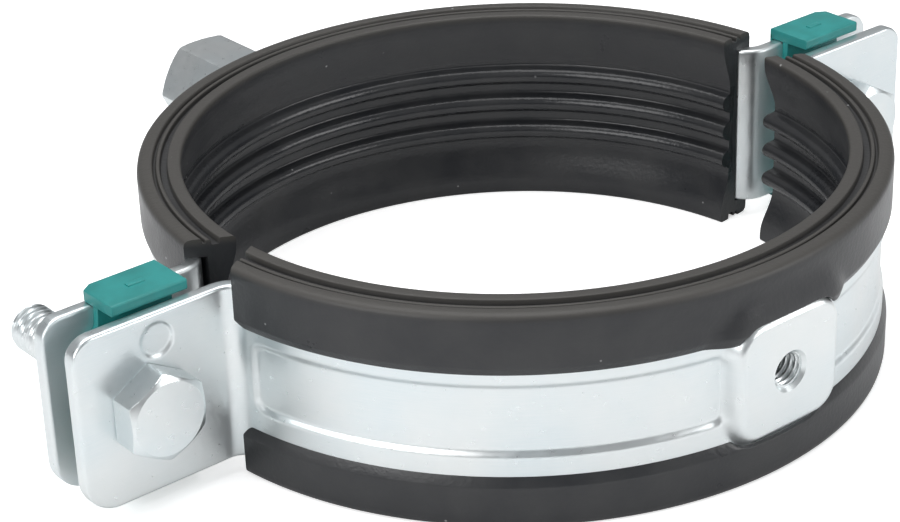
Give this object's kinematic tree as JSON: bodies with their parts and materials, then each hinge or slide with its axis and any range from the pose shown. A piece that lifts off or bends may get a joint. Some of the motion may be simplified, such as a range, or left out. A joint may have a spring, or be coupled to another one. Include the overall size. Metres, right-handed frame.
{
  "type": "pipe clamp",
  "caption": "Two-screw pipe clamp with a ribbed rubber lining, a connecting nut behind and a flat threaded pad in front.",
  "frame": {"origin": "centre of the pipe bore, on its axis at mid height", "axes": "+Z along the bore's axis, up as the clamp lies; +X through the ears, to the right seen from the front; +Y towards the connecting nut"},
  "size_m": [0.18, 0.1566, 0.0362],
  "materials": {
    "zinc_plate": "zinc-plated strip, satin",
    "bolt_zinc": "zinc-plated, satin",
    "rubber": "matt black rubber",
    "teal_plastic": "satin teal plastic"
  },
  "bodies": {
    "rear_half": {"rear_band": "zinc_plate", "rear_liner": "rubber", "left_clip": "teal_plastic", "right_clip": "teal_plastic", "connecting_nut": "bolt_zinc"},
    "front_half": {"front_band": "zinc_plate", "front_liner": "rubber"},
    "left_bolt_body": {"left_bolt": "bolt_zinc"},
    "right_bolt_body": {"right_bolt": "bolt_zinc"}
  },
  "joints": [
    {"name": "front_close", "type": "slide", "parent": "rear_half", "child": "front_half", "axis": [0, 1, 0], "range_m": [-0.02376, 0.00418]},
    {"name": "left_bolt_turn", "type": "hinge", "parent": "front_half", "child": "left_bolt_body", "pos_m": [-0.0775, 0.01, 0], "axis": [0, 1, 0], "range_deg": [-6845, 1205]},
    {"name": "right_bolt_turn", "type": "hinge", "parent": "front_half", "child": "right_bolt_body", "pos_m": [0.0775, 0.01, 0], "axis": [0, 1, 0], "range_deg": [-6845, 1205]}
  ],
  "couplings": [
    {"joint": "left_bolt_turn", "follows": "front_close", "rad_per_m": 5026.5},
    {"joint": "right_bolt_turn", "follows": "front_close", "rad_per_m": 5026.5}
  ]
}
